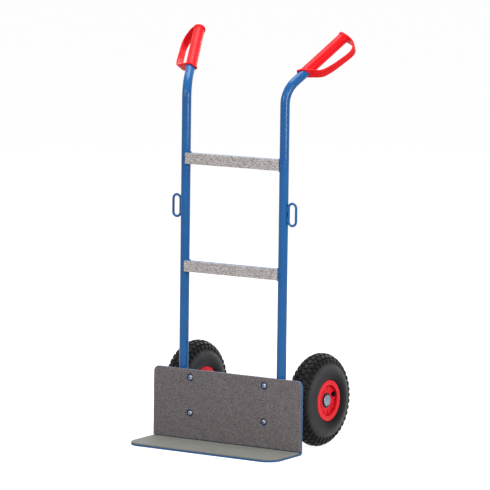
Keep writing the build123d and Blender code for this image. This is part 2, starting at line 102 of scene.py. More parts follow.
# %% Lamps
# Each lamp: where it stands, where it points, its width in metres and its power in watts
lamps = {
    "overhead_softbox": ((-0.2, 0.1, 3.4), (0, 0, 0.7), 2.2, 92.0),
    "left_softbox": ((-1.0, -3.9, 2.0), (0, 0, 0.5), 1.5, 48.0),
    "right_softbox": ((1.9, -0.6, 1.0), (0.1, 0, 0.12), 0.8, 20.0),
    "small_lamp": ((2.0, -3.1, 2.45), (0, 0, 0.9), 0.4, 16.0),
    "back_softbox": ((-0.7, 3.7, 1.8), (0, 0, 0.6), 2.0, 42.0),
}
for name, (place, target, size, power) in lamps.items():
    lamp_data = bpy.data.lights.new(name, "AREA")
    lamp_data.size = size
    lamp_data.energy = power
    lamp = bpy.data.objects.new(name, lamp_data)
    lamp.location = place
    lamp.rotation_euler = (Vector(target) - Vector(place)).to_track_quat("-Z", "Y").to_euler()
    scene.collection.objects.link(lamp)
print("lamps:", len(lamps))

# %% [markdown]
# ## A short way to write nodes
# Shader trees are easier to read when a node and what feeds it stand in one line. The first helper below
# makes a node, sets its options, and for every input either sets a number or links another node's output.
# Two more cover what is needed most: a value drawn out to a new range, and two values put together.


# %% Node helpers
def put(tree, kind, inputs=None, **options):
    made = tree.nodes.new(kind)
    for key, value in options.items():
        setattr(made, key, value)
    for key, value in (inputs or {}).items():
        if isinstance(value, bpy.types.NodeSocket):
            tree.links.new(value, made.inputs[key])
        else:
            made.inputs[key].default_value = value
    return made


def stretched(tree, value, start, end, low=0.0, high=1.0, kind="LINEAR"):
    # A value between start and end, drawn out to lie between low and high
    limits = {0: value, 1: start, 2: end, 3: low, 4: high}
    return put(tree, "ShaderNodeMapRange", limits, interpolation_type=kind).outputs[0]


def combined(tree, operation, first, second, clamp=False):
    values = {0: first, 1: second}
    return put(tree, "ShaderNodeMath", values, operation=operation, use_clamp=clamp).outputs[0]


def paint_colour(red, green, blue):
    # The colour of a swatch, from 0 to 255, as the linear numbers that a shader works in
    linear = [((part / 255 + 0.055) / 1.055) ** 2.4 for part in (red, green, blue)]
    return (*linear, 1.0)


# %% World and floor
fill_strength = 0.22
floor_half = 30.0
floor_glow = 0.91
floor_grey = (0.34, 0.34, 0.34, 1.0)
floor_bounce = (0.5, 0.5, 0.5, 1.0)
white = (1.0, 1.0, 1.0, 1.0)


def seen_directly(tree):
    # True for what the camera sees itself, in a mirror, or through glass
    path = put(tree, "ShaderNodeLightPath").outputs
    mirror = combined(tree, "MAXIMUM", path["Is Camera Ray"], path["Is Glossy Ray"])
    return combined(tree, "MAXIMUM", mirror, path["Is Transmission Ray"])


world = bpy.data.worlds.new("white_studio")
world.use_nodes = True
world.node_tree.nodes.clear()
tree = world.node_tree
fill = put(tree, "ShaderNodeBackground", {"Color": white, "Strength": fill_strength})
sweep = put(tree, "ShaderNodeBackground", {"Color": white, "Strength": 1.0})
choice = put(tree, "ShaderNodeMixShader", {0: seen_directly(tree), 1: fill.outputs[0], 2: sweep.outputs[0]})
put(tree, "ShaderNodeOutputWorld", {"Surface": choice.outputs[0]})
scene.world = world

floor_finish = bpy.data.materials.new("floor_white")
floor_finish.use_nodes = True
tree = floor_finish.node_tree
tree.nodes.clear()
plain = put(tree, "ShaderNodeBsdfDiffuse", {"Color": floor_bounce})
shade = put(tree, "ShaderNodeBsdfDiffuse", {"Color": floor_grey})
glow = put(tree, "ShaderNodeEmission", {"Color": white, "Strength": floor_glow})
both = put(tree, "ShaderNodeAddShader", {0: shade.outputs[0], 1: glow.outputs[0]})
choice = put(tree, "ShaderNodeMixShader", {0: seen_directly(tree), 1: plain.outputs[0], 2: both.outputs[0]})
put(tree, "ShaderNodeOutputMaterial", {"Surface": choice.outputs[0]})

floor_mesh = bpy.data.meshes.new("floor")
corners = [(-1, -1), (1, -1), (1, 1), (-1, 1)]
floor_mesh.from_pydata([(x * floor_half, y * floor_half, 0) for x, y in corners], [], [(0, 1, 2, 3)])
floor_mesh.materials.append(floor_finish)
floor = bpy.data.objects.new("floor", floor_mesh)
scene.collection.objects.link(floor)
print("floor is", 2 * floor_half, "m wide")

# %% [markdown]
# ## Effects that several finishes share
# No real surface is one flat colour. Four effects cover most of this truck: a slow drift of the colour, a
# fine grain, lighter rubbed edges, and a darkening of corners that paints their shade together with the dirt
# that stays there. A fifth makes the fibres of felt. Each is a node group, built once and placed in a finish
# with its own values. Painted images could show the same, but every piece would have to be unwrapped first.
# These follow the place and the shape of the surface itself.


# %% Group helpers
def new_group(name, inputs, outputs):
    group = bpy.data.node_groups.new(name, "ShaderNodeTree")
    for label, value in inputs.items():
        kind = "NodeSocketColor" if isinstance(value, tuple) else "NodeSocketFloat"
        socket = group.interface.new_socket(label, in_out="INPUT", socket_type=kind)
        socket.default_value = value
    for label, kind in outputs.items():
        group.interface.new_socket(label, in_out="OUTPUT", socket_type=kind)
    print("effect:", name)
    return group, group.nodes.new("NodeGroupInput"), group.nodes.new("NodeGroupOutput")


def place_group(tree, group, inputs):
    return put(tree, "ShaderNodeGroup", inputs, node_tree=group)


def surface_place(tree):
    return put(tree, "ShaderNodeTexCoord").outputs["Object"]


def blended(tree, share, first, second):
    mix = put(tree, "ShaderNodeMix", {0: share, 6: first, 7: second}, data_type="RGBA")
    return mix.outputs[2]


# %% Colour drift
cloud_span = (0.32, 0.68)
drift, given, result = new_group(
    "colour_drift", {"First": white, "Second": white, "Scale": 8.0}, {"Colour": "NodeSocketColor"})
cloud = put(drift, "ShaderNodeTexNoise", {
    "Vector": surface_place(drift), "Scale": given.outputs["Scale"], "Detail": 5.0, "Roughness": 0.62})
share = stretched(drift, cloud.outputs["Fac"], *cloud_span)
two_tone = blended(drift, share, given.outputs["First"], given.outputs["Second"])
drift.links.new(two_tone, result.inputs["Colour"])

# %% Fine grain
grain_span = (0.7, 1.3)
grain, given, result = new_group(
    "fine_grain", {"Scale": 900.0, "Low": 0.3, "High": 0.5},
    {"Height": "NodeSocketFloat", "Roughness": "NodeSocketFloat"})
speck = put(grain, "ShaderNodeTexNoise", {
    "Vector": surface_place(grain), "Scale": given.outputs["Scale"], "Detail": 3.0, "Roughness": 0.55})
patch = put(grain, "ShaderNodeTexNoise", {"Vector": surface_place(grain), "Scale": 23.0, "Detail": 4.0})
mingled = combined(grain, "ADD", speck.outputs["Fac"], patch.outputs["Fac"])
gloss = stretched(grain, mingled, *grain_span, given.outputs["Low"], given.outputs["High"])
grain.links.new(speck.outputs["Fac"], result.inputs["Height"])
grain.links.new(gloss, result.inputs["Roughness"])

# %% Rubbed edges
edge_span = (0.995, 0.8)
wear_span = (0.35, 0.65)
rubbed, given, result = new_group(
    "rubbed_edges", {"Width": 0.0015, "Amount": 1.0}, {"Mask": "NodeSocketFloat"})
rounded = put(rubbed, "ShaderNodeBevel", {"Radius": given.outputs["Width"]}, samples=4)
true_way = put(rubbed, "ShaderNodeNewGeometry")
alike = put(rubbed, "ShaderNodeVectorMath", {
    0: rounded.outputs[0], 1: true_way.outputs["Normal"]}, operation="DOT_PRODUCT")
turned_away = stretched(rubbed, alike.outputs["Value"], *edge_span)
patchy = put(rubbed, "ShaderNodeTexNoise", {"Vector": surface_place(rubbed), "Scale": 70.0, "Detail": 4.0})
worn = stretched(rubbed, patchy.outputs["Fac"], *wear_span)
share = combined(rubbed, "MULTIPLY", turned_away, worn)
mask = combined(rubbed, "MULTIPLY", share, given.outputs["Amount"], True)
rubbed.links.new(mask, result.inputs["Mask"])

# %% Dirt and painted shade in corners
nook_span = (0.85, 0.35)
patch_span = (0.25, 0.6)
least_dirt_and_shade = 0.4
corner_dirt_and_shade, given, result = new_group(
    "corner_dirt_and_shade", {"Reach": 0.008, "Amount": 1.0}, {"Mask": "NodeSocketFloat"})
# Painted shade: ambient occlusion darkens corners and recesses where shade falls, broken into patches like
# dirt
nook = put(corner_dirt_and_shade, "ShaderNodeAmbientOcclusion", {"Distance": given.outputs["Reach"]}, samples=6)
shut = stretched(corner_dirt_and_shade, nook.outputs["AO"], *nook_span)
patchy = put(corner_dirt_and_shade, "ShaderNodeTexNoise", {
    "Vector": surface_place(corner_dirt_and_shade), "Scale": 60.0, "Detail": 5.0})
uneven = stretched(corner_dirt_and_shade, patchy.outputs["Fac"], *patch_span, least_dirt_and_shade)
share = combined(corner_dirt_and_shade, "MULTIPLY", shut, uneven)
mask = combined(corner_dirt_and_shade, "MULTIPLY", share, given.outputs["Amount"], True)
corner_dirt_and_shade.links.new(mask, result.inputs["Mask"])

# %% Felt fibres
fibre_stretch = (1.0, 2.6, 2.6)
fibre_turns = ((0.2, 0.1, 0.3), (0.9, 0.5, 1.4), (-0.6, 1.1, -0.9))
pale_span = (0.52, 0.72)
dark_span = (0.45, 0.3)
fibres, given, result = new_group(
    "felt_fibres", {"Scale": 90.0, "Spots": 300.0},
    {"Pale": "NodeSocketFloat", "Dark": "NodeSocketFloat", "Height": "NodeSocketFloat"})
strands = []
for turn_angles in fibre_turns:
    laid = put(fibres, "ShaderNodeMapping", {
        "Vector": surface_place(fibres), "Rotation": turn_angles, "Scale": fibre_stretch})
    strand = put(fibres, "ShaderNodeTexNoise", {
        "Vector": laid.outputs[0], "Scale": given.outputs["Scale"], "Detail": 3.0, "Roughness": 0.6})
    strands.append(strand.outputs["Fac"])
upper = combined(fibres, "MAXIMUM", strands[0], strands[1])
crossed = combined(fibres, "MAXIMUM", upper, strands[2])
lower = combined(fibres, "MINIMUM", strands[0], strands[2])
tuft = put(fibres, "ShaderNodeTexNoise", {
    "Vector": surface_place(fibres), "Scale": given.outputs["Spots"], "Detail": 4.0, "Roughness": 0.7})
fibres.links.new(stretched(fibres, crossed, *pale_span), result.inputs["Pale"])
fibres.links.new(stretched(fibres, lower, *dark_span), result.inputs["Dark"])
fibres.links.new(combined(fibres, "ADD", crossed, tuft.outputs["Fac"]), result.inputs["Height"])

# %% [markdown]
# ## Finishes
# Ten finishes dress the truck, one for each material slot of its record. Each ends in one Principled shader
# that stays in the material itself. Most are made alike: a drifting colour, lighter at rubbed edges, darker
# in corners with dirt and painted shade, and under a fine grain. One helper does that, so such a finish is
# only a few values.

# %% Finish helpers
finishes = {}


def new_finish(name):
    finish = bpy.data.materials.new(name)
    finish.use_nodes = True
    finish.node_tree.nodes.clear()
    finishes[name] = finish
    print("finish:", name)
    return finish.node_tree


def bumped(tree, height, strength, distance):
    bump = put(tree, "ShaderNodeBump", {"Height": height, "Strength": strength, "Distance": distance})
    return bump.outputs[0]


def close_finish(tree, inputs):
    shader = put(tree, "ShaderNodeBsdfPrincipled", inputs)
    put(tree, "ShaderNodeOutputMaterial", {"Surface": shader.outputs[0]})


def drifting(tree, first, second, scale):
    tones = {"First": paint_colour(*first), "Second": paint_colour(*second), "Scale": scale}
    return place_group(tree, drift, tones).outputs["Colour"]


def coated(tree, colour, edge, dirt_and_shade, texture, bump, shine):
    # Texture is the scale of the grain with the least and the most roughness; bump is a strength and a depth
    edge_width, edge_amount, edge_colour = edge
    rub = place_group(tree, rubbed, {"Width": edge_width, "Amount": edge_amount})
    colour = blended(tree, rub.outputs["Mask"], colour, paint_colour(*edge_colour))
    # Dirt and painted shade: corners and recesses turn towards this colour where shade falls and dirt stays
    if dirt_and_shade:
        dirt_and_shade_reach, dirt_and_shade_amount, dirt_and_shade_colour = dirt_and_shade
        soil_and_shade = place_group(tree, corner_dirt_and_shade, {"Reach": dirt_and_shade_reach, "Amount": dirt_and_shade_amount})
        colour = blended(tree, soil_and_shade.outputs["Mask"], colour, paint_colour(*dirt_and_shade_colour))
    grain_scale, smoothest, roughest = texture
    skin = place_group(tree, grain, {"Scale": grain_scale, "Low": smoothest, "High": roughest})
    close_finish(tree, {
        "Base Color": colour, "Roughness": skin.outputs["Roughness"], "Specular IOR Level": shine,
        "Normal": bumped(tree, skin.outputs["Height"], *bump)})


# %% [markdown]
# ### Blue powder coat
# The steel is sprayed with powder and baked, which leaves a gloss with a slight orange peel. A low bump
# from the fine grain gives the peel. Edges are rubbed a little lighter, and the corners at the welds are
# painted darker, for the shade that falls there and the dirt that they hold.

# %% Blue powder coat
tree = new_finish("blue_paint")
coat = drifting(tree, (21, 89, 152), (26, 97, 160), scale=9.0)
# Painted shade with dirt in the corners at the welds
coated(tree, coat, edge=(0.0012, 0.4, (70, 132, 200)), dirt_and_shade=(0.006, 0.5, (12, 40, 78)),
       texture=(420.0, 0.08, 0.14), bump=(0.05, 0.0006), shine=0.25)

# %% [markdown]
# ### Red plastics
# Grips and rims are dyed through, so wear only makes them paler. The grips are a soft, finely stippled
# moulding, with a little painted shade in their corners. The rims are harder, and the pockets between their
# ribs look deeper because shade gathers there; the corner effect with a long reach paints that shade, which
# shows better than a darker colour all over.

# %% Red grip plastic
tree = new_finish("red_grip")
body = drifting(tree, (226, 8, 22), (234, 14, 28), scale=14.0)
# Painted shade in the corners of the grip, with a little dirt
coated(tree, body, edge=(0.0015, 0.2, (250, 70, 72)), dirt_and_shade=(0.006, 0.4, (140, 2, 16)),
       texture=(1500.0, 0.36, 0.48), bump=(0.1, 0.0003), shine=0.18)

# %% Red rim plastic
tree = new_finish("red_rim")
body = drifting(tree, (244, 42, 54), (248, 50, 62), scale=18.0)
# Painted shade in the pockets between the ribs, with a long reach
coated(tree, body, edge=(0.0012, 0.3, (250, 84, 86)), dirt_and_shade=(0.02, 0.9, (196, 8, 30)),
       texture=(1300.0, 0.36, 0.5), bump=(0.1, 0.0003), shine=0.12)

# %% [markdown]
# ### Tyre rubber
# The sidewall shows a paler ring between the tread and the rim, and it is painted almost black where the lip
# meets the rim, as the shadow that the lip casts there. Each could be a piece of its own, but both follow the
# distance from the axle, which the shader works out from the place on the surface. So one finish is enough.

# %% Tyre rubber
axle_middle = (0.0, 0.07975, 0.129)
across_axle = (0.0, 1.0, 1.0)
ring_start = (0.068, 0.093)
ring_end = (0.111, 0.094)
lip_shade = (0.066, 0.060)
tree = new_finish("tyre_rubber")
fresh = drifting(tree, (16, 16, 18), (24, 24, 26), scale=16.0)
greyed = drifting(tree, (54, 54, 57), (68, 68, 70), scale=30.0)
from_axle = put(tree, "ShaderNodeVectorMath", {0: surface_place(tree), 1: axle_middle}, operation="SUBTRACT")
level_off = put(tree, "ShaderNodeVectorMath", {0: from_axle.outputs[0], 1: across_axle}, operation="MULTIPLY")
away = put(tree, "ShaderNodeVectorMath", {0: level_off.outputs[0]}, operation="LENGTH").outputs["Value"]
past_rim = stretched(tree, away, *ring_start, kind="SMOOTHSTEP")
under_tread = stretched(tree, away, *ring_end, kind="SMOOTHSTEP")
ring = combined(tree, "MULTIPLY", past_rim, under_tread)
ringed = blended(tree, ring, fresh, greyed)
# Painted shadow: almost black next to the rim, where the lip shades the tyre
body = blended(tree, stretched(tree, away, *lip_shade), ringed, paint_colour(2, 2, 3))
# Painted shade with dirt in the grooves of the tread and in the corner at the rim
coated(tree, body, edge=(0.001, 0.3, (60, 60, 60)), dirt_and_shade=(0.011, 1.0, (8, 8, 9)),
       texture=(1100.0, 0.4, 0.54), bump=(0.2, 0.0004), shine=0.12)

# %% [markdown]
# ### Soft rubber and black plastic
# Valves and inner tubes are soft and dull, washers and plugs are harder and shine a little more. One loop
# makes both, because only their blacks and their gloss differ.

# %% Soft rubber and black plastic
for name, pale_black, deep_black, least, most, shine in (
        ("soft_rubber", (14, 14, 15), (10, 10, 11), 0.5, 0.66, 0.1),
        ("black_plastic", (24, 24, 26), (16, 16, 17), 0.42, 0.55, 0.25)):
    tree = new_finish(name)
    body = drifting(tree, pale_black, deep_black, scale=40.0)
    coated(tree, body, edge=(0.001, 0.25, (74, 74, 76)), dirt_and_shade=None,
           texture=(1200.0, least, most), bump=(0.2, 0.0003), shine=shine)

# %% [markdown]
# ### Felt
# Needled felt has no weave: pale and dark hairs lie in every direction. Three layers of stretched noise,
# each turned another way, stand for the hairs, and a sheen gives the soft edge that cloth has in a low
# light. Real hairs would be too many to draw, and at this size nobody would see them singly.

# %% Felt of the rung strips and of the plate facing
# Each felt: its two tones, its pale and its dark hairs, and how fine its blotches and its hairs are
felt_looks = {
    "pad_felt": ((186, 180, 178), (160, 154, 152), (222, 217, 215), (110, 104, 103), 60.0, 150.0),
    "carpet_felt": ((109, 102, 103), (97, 90, 92), (140, 133, 134), (67, 61, 63), 60.0, 190.0),
}
for name, (first, second, pale_hair, dark_hair, blotch, hair) in felt_looks.items():
    tree = new_finish(name)
    body = drifting(tree, first, second, blotch)
    hairs = place_group(tree, fibres, {"Scale": hair, "Spots": 420.0})
    paler = blended(tree, hairs.outputs["Pale"], body, paint_colour(*pale_hair))
    colour = blended(tree, hairs.outputs["Dark"], paler, paint_colour(*dark_hair))
    close_finish(tree, {
        "Base Color": colour, "Roughness": 0.95, "Specular IOR Level": 0.15,
        "Normal": bumped(tree, hairs.outputs["Height"], strength=0.7, distance=0.0012),
        "Sheen Weight": 0.25, "Sheen Roughness": 0.6})

# %% [markdown]
# ### Sheet on the toe and zinc
# The toe has a smooth grey sheet, almost without a pattern, so only a fine pebble keeps it from looking
# like paint. Bolts, nuts, caps and the axle are zinc plated: small crystals of slightly different greys,
# which a cell texture gives, under a fine brush.

# %% Finish of the sheet on the toe
tree = new_finish("mat_rubber")
body = drifting(tree, (128, 128, 122), (121, 121, 115), scale=12.0)
coated(tree, body, edge=(0.0015, 0.2, (160, 160, 153)), dirt_and_shade=None,
       texture=(800.0, 0.55, 0.68), bump=(0.2, 0.0003), shine=0.3)

# %% Zinc-plated steel
tree = new_finish("zinc_steel")
spangle = put(tree, "ShaderNodeTexVoronoi", {"Vector": surface_place(tree), "Scale": 320.0})
tint = stretched(tree, spangle.outputs["Color"], 0.0, 1.0)
plated = blended(tree, tint, paint_colour(118, 128, 144), paint_colour(150, 158, 172))
# Painted shade with dirt: recesses, such as the key's recess in each bolt, are darker
dirt_and_shade = place_group(tree, corner_dirt_and_shade, {"Reach": 0.004, "Amount": 0.9})
brush = place_group(tree, grain, {"Scale": 1400.0, "Low": 0.22, "High": 0.4})
colour = blended(tree, dirt_and_shade.outputs["Mask"], plated, paint_colour(48, 52, 60))
close_finish(tree, {
    "Base Color": colour, "Metallic": 1.0, "Roughness": brush.outputs["Roughness"],
    "Normal": bumped(tree, brush.outputs["Height"], strength=0.08, distance=0.0002)})
print("finishes:", len(finishes))

# %% [markdown]
# ## From a drawing to a mesh
# The pieces below are worked out in millimetres, in the frame of a workshop drawing. One helper scales each
# of them, puts it in place, gives it a finish and says which body carries it. The ladder of the truck leans
# back by a little over a degree about the heel of the toe plate, so its pieces share one leaning place.

# %% Places
millimetre = 0.001
frame_lean = radians(1.3)
heel_y = -68.75
as_drawn = Matrix()
mirrored = Matrix.Scale(-1, 4, (1, 0, 0))
quarter_turn = Matrix.Rotation(radians(90), 4, "X")
level_place = Matrix.Scale(millimetre, 4) @ Matrix.Translation((0, heel_y, 0))
ladder_place = level_place @ Matrix.Rotation(-frame_lean, 4, "X")
two_sides = (("right", as_drawn), ("left", mirrored))
print("the ladder leans back by", round(frame_lean, 4), "radians")

# %% Piece helpers
crease_angle = radians(38)


def mesh_of(points, faces):
    mesh = bpy.data.meshes.new("drawing")
    mesh.from_pydata(np.asarray(points).reshape(-1, 3).tolist(), [], faces)
    return mesh


def joined(meshes, name="joined"):
    # One mesh that holds all of them, with every face turned outwards
    shape = bmesh.new()
    for mesh in meshes:
        shape.from_mesh(mesh)
        bpy.data.meshes.remove(mesh)
    bmesh.ops.recalc_face_normals(shape, faces=shape.faces)
    whole = bpy.data.meshes.new(name)
    shape.to_mesh(whole)
    shape.free()
    return whole


def add_piece(name, meshes, place, body, slot, *nodes):
    for mesh in meshes:
        mesh.transform(place)
    made = joined(meshes, name)
    made.materials.append(finishes[slot])
    made.shade_smooth()
    made.set_sharp_from_angle(angle=crease_angle)
    piece = bpy.data.objects.new(name, made)
    scene.collection.objects.link(piece)
    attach(piece, body)
    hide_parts(*nodes)
    print(name, "has", len(made.polygons), "faces")
    return piece


# %% [markdown]
# ## Rods and pipes
# Tubes, rings and welds are all a circle moved along a route. A curve with a bevel would do the same, but
# rings of points laid one by one keep control of where they are close together: many in a bend, few on a
# straight.


# %% Rod helpers
def ring_faces(rows, columns, loop):
    # Quads between rings of points; a loop joins the last ring to the first
    row, column = np.meshgrid(np.arange(rows if loop else rows - 1), np.arange(columns), indexing="ij")
    below = (row + 1) % rows
    beside = (column + 1) % columns
    this_row = row * columns
    next_row = below * columns
    quads = [this_row + column, this_row + beside, next_row + beside, next_row + column]
    return np.stack(quads, axis=-1).reshape(-1, len(quads)).tolist()


def closed_faces(rows, columns):
    # Quads between rings of points, with a face over each end
    last = (rows - 1) * columns
    return ring_faces(rows, columns, False) + [list(range(columns)), list(range(last, last + columns))]


def unit(ways):
    return ways / np.linalg.norm(ways, axis=1, keepdims=True)


def rod_rings(route, radius, sides, reference, loop=False):
    route = np.array(route, dtype=float)
    way = np.roll(route, -1, axis=0) - np.roll(route, 1, axis=0) if loop else np.gradient(route, axis=0)
    way = unit(way)
    across = unit(np.array(reference) - way * (way @ np.array(reference))[:, None])
    upward = np.cross(way, across)
    angle = np.linspace(0, 2 * pi, sides, endpoint=False)[None, :, None]
    circle = across[:, None] * np.cos(angle) + upward[:, None] * np.sin(angle)
    return route[:, None] + circle * np.broadcast_to(radius, len(route))[:, None, None]


def rod_mesh(route, radius, sides, reference, loop=False):
    rings = rod_rings(route, radius, sides, reference, loop)
    faces = ring_faces(len(rings), sides, True) if loop else closed_faces(len(rings), sides)
    return mesh_of(rings, faces)


def pipe_mesh(route, radius, bore, sides, reference):
    outside = rod_rings(route, radius, sides, reference)
    inside = rod_rings(route, bore, sides, reference)[::-1]
    shell = np.concatenate([outside, inside])
    return mesh_of(shell, ring_faces(len(shell), sides, True))


def round_rings(outline, sides):
    # A circle about X for each pair of a place along X and a radius
    turns = np.linspace(0, 2 * pi, sides, endpoint=False)
    rings = []
    for along, radius in outline:
        rings.append([(along, radius * cos(angle), radius * sin(angle)) for angle in turns])
    return rings


def turned_mesh(outline, sides):
    # An outline of places along X and radii, spun about X as on a lathe
    return mesh_of(round_rings(outline, sides), closed_faces(len(outline), sides))


# %% [markdown]
# ## Uprights
# Each upright is one steel tube that a bender turned back and outwards for the handle. A smoothed curve
# would look much the same, but not start its bend where the bender did. The bend is also where the lamps
# draw their brightest marks, so it gets a ring of points every two degrees.

# %% Uprights
tube_radius = 13.0
tube_bore = 10.5
tube_x = 162.0
tube_setback = 22.0
tube_sides = 64
foot_height = 42.0
straight_stops = (foot_height, 300.0, 600.0, 900.0)
corner_height = 988.0
bend_radius = 75.0
bend_angle = radians(53.0)
bend_rings = 28
handle_splay = radians(24.5)
handle_run = 232.0

bend_start = corner_height - bend_radius * tan(bend_angle / 2)
flat_route = [(0.0, height) for height in straight_stops]
for angle in np.linspace(0, bend_angle, bend_rings):
    flat_route.append((bend_radius * (1 - cos(angle)), bend_start + bend_radius * sin(angle)))
flat_route.append((handle_run * sin(bend_angle), corner_height + handle_run * cos(bend_angle)))
tube_route = [(tube_x + reach * sin(handle_splay), tube_setback + reach * cos(handle_splay), height)
              for reach, height in flat_route]
bend_normal = (cos(handle_splay), -sin(handle_splay), 0.0)
for side, turned in two_sides:
    tube = pipe_mesh(tube_route, tube_radius, tube_bore, tube_sides, bend_normal)
    add_piece(side + "_bent_tube", [tube], turned @ ladder_place, "frame", "blue_paint", side + "_upright")

# %% [markdown]
# ## Rungs
# A rung is a length of rectangular tube with rounded corners. Its ends are coped: cut hollow to sit on the
# round uprights. A boolean could cut that, but it leaves thin slivers at the ends. The cope is a circle, so
# here each point of the outline simply runs on until it meets the tube's wall.

# %% Rungs
rung_depth = 20.0
rung_height = 30.0
rung_wall = 2.0
rung_corner = 3.2
rung_front = 12.0
rung_bite = 0.3
rung_levels = {"lower": 487.0, "upper": 786.0}
rung_middle = tube_setback - rung_front + rung_depth / 2
corner_steps = 6
rung_rows = 5


def rounded_outline(width, height, radius):
    # Points round a rectangle with rounded corners, about its middle
    points = []
    for across, upward, start in ((1, 1, 0), (-1, 1, 90), (-1, -1, 180), (1, -1, 270)):
        for angle in np.radians(np.linspace(start, start + 90, corner_steps)):
            points.append((across * (width / 2 - radius) + radius * cos(angle),
                           upward * (height / 2 - radius) + radius * sin(angle)))
    return points


def tube_wall_x(y):
    return tube_x - sqrt(tube_radius ** 2 - (y - tube_setback) ** 2)


def rung_mesh(level):
    outside = rounded_outline(rung_depth, rung_height, rung_corner)
    inside = rounded_outline(rung_depth - 2 * rung_wall, rung_height - 2 * rung_wall, rung_corner - rung_wall)
    shares = np.linspace(-1, 1, rung_rows)
    rows = []
    for outline, order in ((outside, shares), (inside, shares[::-1])):
        for share in order:
            rows.append([(share * (tube_wall_x(rung_middle + y) + rung_bite), rung_middle + y, level + z)
                         for y, z in outline])
    return mesh_of(rows, ring_faces(len(rows), len(outside), True))


for name, level in rung_levels.items():
    add_piece(name + "_square_rung", [rung_mesh(level)], ladder_place, "frame", "blue_paint", name + "_rung")

# %% [markdown]
# ## Strap rings
# The rings that take a strap are bent from round rod and welded to the outside of the uprights. A torus
# pulled long would thin its rod at the ends, so the rod follows a route of two half turns with straight
# legs between.

# %% Strap rings
ring_rod = 3.5
ring_turn = 12.0
ring_run = 36.5
ring_x = 190.6
ring_height = 652.3
ring_steps = 25
ring_sides = 24

ring_route = []
for middle, start in ((ring_run / 2, 0), (-ring_run / 2, 180)):
    for angle in np.radians(np.linspace(start, start + 180, ring_steps)):
        rise = middle + ring_turn * sin(angle)
        ring_route.append((ring_x + ring_turn * cos(angle), tube_setback, ring_height + rise))
for side, turned in two_sides:
    ring = rod_mesh(ring_route, ring_rod, ring_sides, (0, 1, 0), True)
    add_piece(side + "_bent_ring", [ring], turned @ ladder_place, "frame", "blue_paint", side + "_strap_ring")

# %% [markdown]
# ## Weld beads
# A weld is a row of small ripples where the torch paused, painted over with the rest. A texture could draw
# the ripples but not the swelling that fills the corner. A rod whose radius swells and shrinks along its
# route shows both, half sunk into the two pieces that it joins.

# %% Weld beads
bead_sides = 10
bead_gap = 0.7
ripple_pitch = 2.4
ripple_depth = 0.16
bead_wander = 0.12
wander_pitch = 0.3
bead_tip = 0.1
fewest_stops = 8
loop_bead = 2.4
leg_bead = 2.0
bar_bead = 2.6
bracket_bead = 2.3


def run_lengths(route):
    # How far each point lies along its route
    return np.concatenate([[0], np.cumsum(np.linalg.norm(np.diff(route, axis=0), axis=1))])


def spaced(route, loop):
    # The same route with its points at even gaps
    route = np.array(route + route[:1] if loop else route, dtype=float)
    length = run_lengths(route)
    count = max(int(length[-1] / bead_gap), fewest_stops)
    stops = np.linspace(0, length[-1], count, endpoint=not loop)
    points = np.stack([np.interp(stops, length, part) for part in route.T], axis=1)
    return points, stops, length[-1]


def bead_mesh(route, size, reference, loop=False):
    points, stops, length = spaced(route, loop)
    radius = size * (1 + ripple_depth * np.sin(stops * 2 * pi / ripple_pitch))
    radius *= [1 + bead_wander * noise.noise(Vector(point) * wander_pitch) for point in points]
    if not loop:
        radius *= np.sqrt(np.clip(np.minimum(stops, length - stops) / size, bead_tip, 1))
    return rod_mesh(points, radius, bead_sides, reference, loop)


bead_lift = 0.5
ring_weld_rise = 14.0
ring_weld_half = 7.0
ring_weld_y = 2.7
ring_weld_x = 176.3
bar_levels = (80.0, 180.0)
bar_half = 15.0
bar_weld_x = 5.5
bar_weld_y = 10.0
bracket_weld_x = 149.4
bracket_weld_y = 5.5
bracket_weld_ends = (64.0, 188.0)

beads = []
for level in rung_levels.values():
    outline = rounded_outline(
        rung_depth + 2 * bead_lift, rung_height + 2 * bead_lift, rung_corner + bead_lift)
    route = [(tube_wall_x(rung_middle + y) - bead_lift, rung_middle + y, level + z) for y, z in outline]
    beads.append((route, loop_bead, True))
for rise in (-ring_weld_rise, ring_weld_rise):
    for lean_out in (-ring_weld_y, ring_weld_y):
        middle = ring_height + rise
        ends = [(ring_weld_x, tube_setback + lean_out, middle + half)
                for half in (-ring_weld_half, ring_weld_half)]
        beads.append((ends, leg_bead, False))
for level in bar_levels:
    for lean_out in (-bar_weld_x, bar_weld_x):
        ends = [(tube_x + lean_out, bar_weld_y, level + half) for half in (-bar_half, bar_half)]
        beads.append((ends, bar_bead, False))
for lean_out in (-bracket_weld_y, bracket_weld_y):
    ends = [(bracket_weld_x, tube_setback + lean_out, height) for height in bracket_weld_ends]
    beads.append((ends, bracket_bead, False))
for side, turned in two_sides:
    meshes = [bead_mesh(route, size, (1, 0, 0), loop) for route, size, loop in beads]
    add_piece(side + "_weld_beads", meshes, turned @ ladder_place, "frame", "blue_paint")

# %% [markdown]
# ## Softened solids
# Pressed, cut and moulded pieces already have the right shape as solids, but no real edge is a knife. A
# bevel in the shader would round them for the light only, and be lost in an export. So a copy of each has
# its flat faces joined again and its sharp edges rolled off by less than a millimetre, which is enough to
# catch the light. The copy replaces the solid, so the solid itself stays as it was packed.

# %% Softened solids
flat_angle = radians(0.4)
sharp_angle = radians(33)
weld_gap = 0.000002
edge_rows = 2
round_profile = 0.5


def softened(node_name, width):
    shape = bmesh.new()
    shape.from_mesh(frame["nodes"][node_name].data)
    bmesh.ops.remove_doubles(shape, verts=shape.verts, dist=weld_gap)
    bmesh.ops.dissolve_limit(shape, angle_limit=flat_angle, verts=shape.verts, edges=shape.edges)
    sharp = [edge for edge in shape.edges if edge.is_manifold and edge.calc_face_angle() > sharp_angle]
    bmesh.ops.bevel(shape, geom=sharp, offset=width * millimetre, segments=edge_rows, profile=round_profile,
                    affect="EDGES", clamp_overlap=True)
    mesh = bpy.data.meshes.new("softened")
    shape.to_mesh(mesh)
    shape.free()
    return mesh


